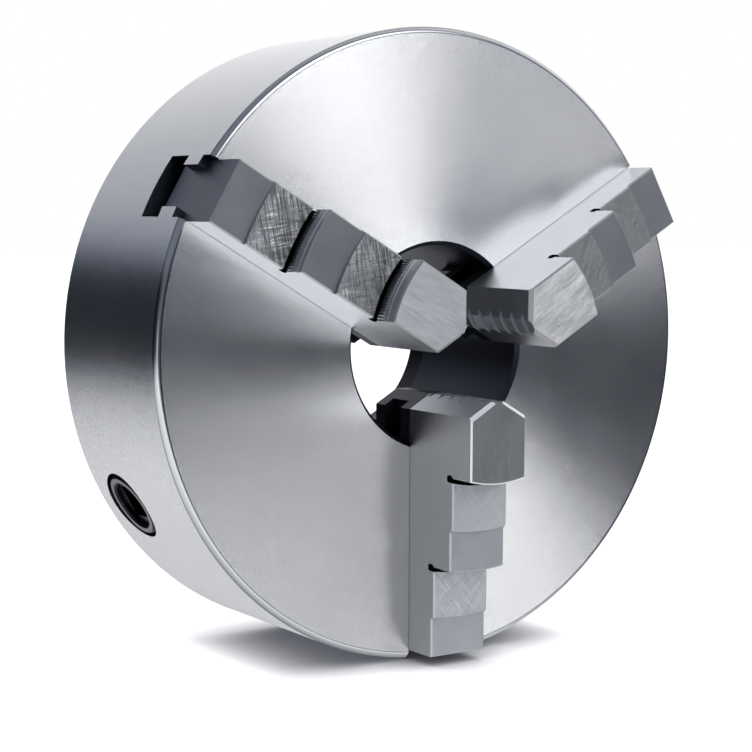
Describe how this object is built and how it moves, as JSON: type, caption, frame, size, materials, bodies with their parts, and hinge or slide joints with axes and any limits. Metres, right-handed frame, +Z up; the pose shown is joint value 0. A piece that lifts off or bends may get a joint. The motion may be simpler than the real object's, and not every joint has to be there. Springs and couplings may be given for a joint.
{
  "type": "three-jaw self-centring lathe chuck",
  "caption": "Self-centring lathe chuck: a round body with a through bore and stepped hard jaws that a scroll plate moves together when a bevel pinion is turned.",
  "frame": {"origin": "on the spindle axis, in the plane of the rear rim that seats on the backplate", "axes": "+Y along the spindle axis, out of the back towards the headstock, so the jaws face -Y; +Z up, with one jaw straight down; +X to the right as seen from the front"},
  "size_m": [0.25, 0.1204, 0.25],
  "materials": {
    "body": "fine turned and ground, bright, lightly oiled",
    "cover": "turned, a little duller than the body",
    "jaw": "hardened, ground on the sides, seats and tops, with bright chamfers",
    "scroll": "turned and milled, oiled",
    "pinion": "hardened, black oxide",
    "screw": "black oxide"
  },
  "bodies": {
    "body": {"chuck_body": "body", "cover_plate": "cover", "cover_screws": "screw", "pinion_retaining_screw_1": "screw", "pinion_retaining_screw_2": "screw", "pinion_retaining_screw_3": "screw"},
    "scroll": {"scroll_plate": "scroll"},
    "jaw_1": {"jaw_1": "jaw"},
    "jaw_2": {"jaw_2": "jaw"},
    "jaw_3": {"jaw_3": "jaw"},
    "pinion_1": {"pinion_1": "pinion"},
    "pinion_2": {"pinion_2": "pinion"},
    "pinion_3": {"pinion_3": "pinion"}
  },
  "joints": [
    {"name": "scroll_spin", "type": "hinge", "parent": "body", "child": "scroll", "pos_m": [0, -0.0257, 0], "axis": [0, 1, 0], "range_deg": [-540, 1080]},
    {"name": "jaw_1_slide", "type": "slide", "parent": "body", "child": "jaw_1", "axis": [0, 0, -1], "range_m": [-0.015, 0.03]},
    {"name": "jaw_2_slide", "type": "slide", "parent": "body", "child": "jaw_2", "axis": [0.866, 0, 0.5], "range_m": [-0.015, 0.03]},
    {"name": "jaw_3_slide", "type": "slide", "parent": "body", "child": "jaw_3", "axis": [-0.866, 0, 0.5], "range_m": [-0.015, 0.03]},
    {"name": "pinion_1_spin", "type": "hinge", "parent": "body", "child": "pinion_1", "pos_m": [0, -0.0257, 0], "axis": [0, 0, 1], "range_deg": [-3375, 6750]},
    {"name": "pinion_2_spin", "type": "hinge", "parent": "body", "child": "pinion_2", "pos_m": [0, -0.0257, 0], "axis": [-0.866, 0, -0.5], "range_deg": [-3375, 6750]},
    {"name": "pinion_3_spin", "type": "hinge", "parent": "body", "child": "pinion_3", "pos_m": [0, -0.0257, 0], "axis": [0.866, 0, -0.5], "range_deg": [-3375, 6750]}
  ],
  "couplings": [
    {"joint": "jaw_1_slide", "follows": "scroll_spin", "m_per_rad": 0.0015915},
    {"joint": "jaw_2_slide", "follows": "scroll_spin", "m_per_rad": 0.0015915},
    {"joint": "jaw_3_slide", "follows": "scroll_spin", "m_per_rad": 0.0015915},
    {"joint": "pinion_1_spin", "follows": "scroll_spin", "ratio": 6.25},
    {"joint": "pinion_2_spin", "follows": "scroll_spin", "ratio": 6.25},
    {"joint": "pinion_3_spin", "follows": "scroll_spin", "ratio": 6.25}
  ]
}
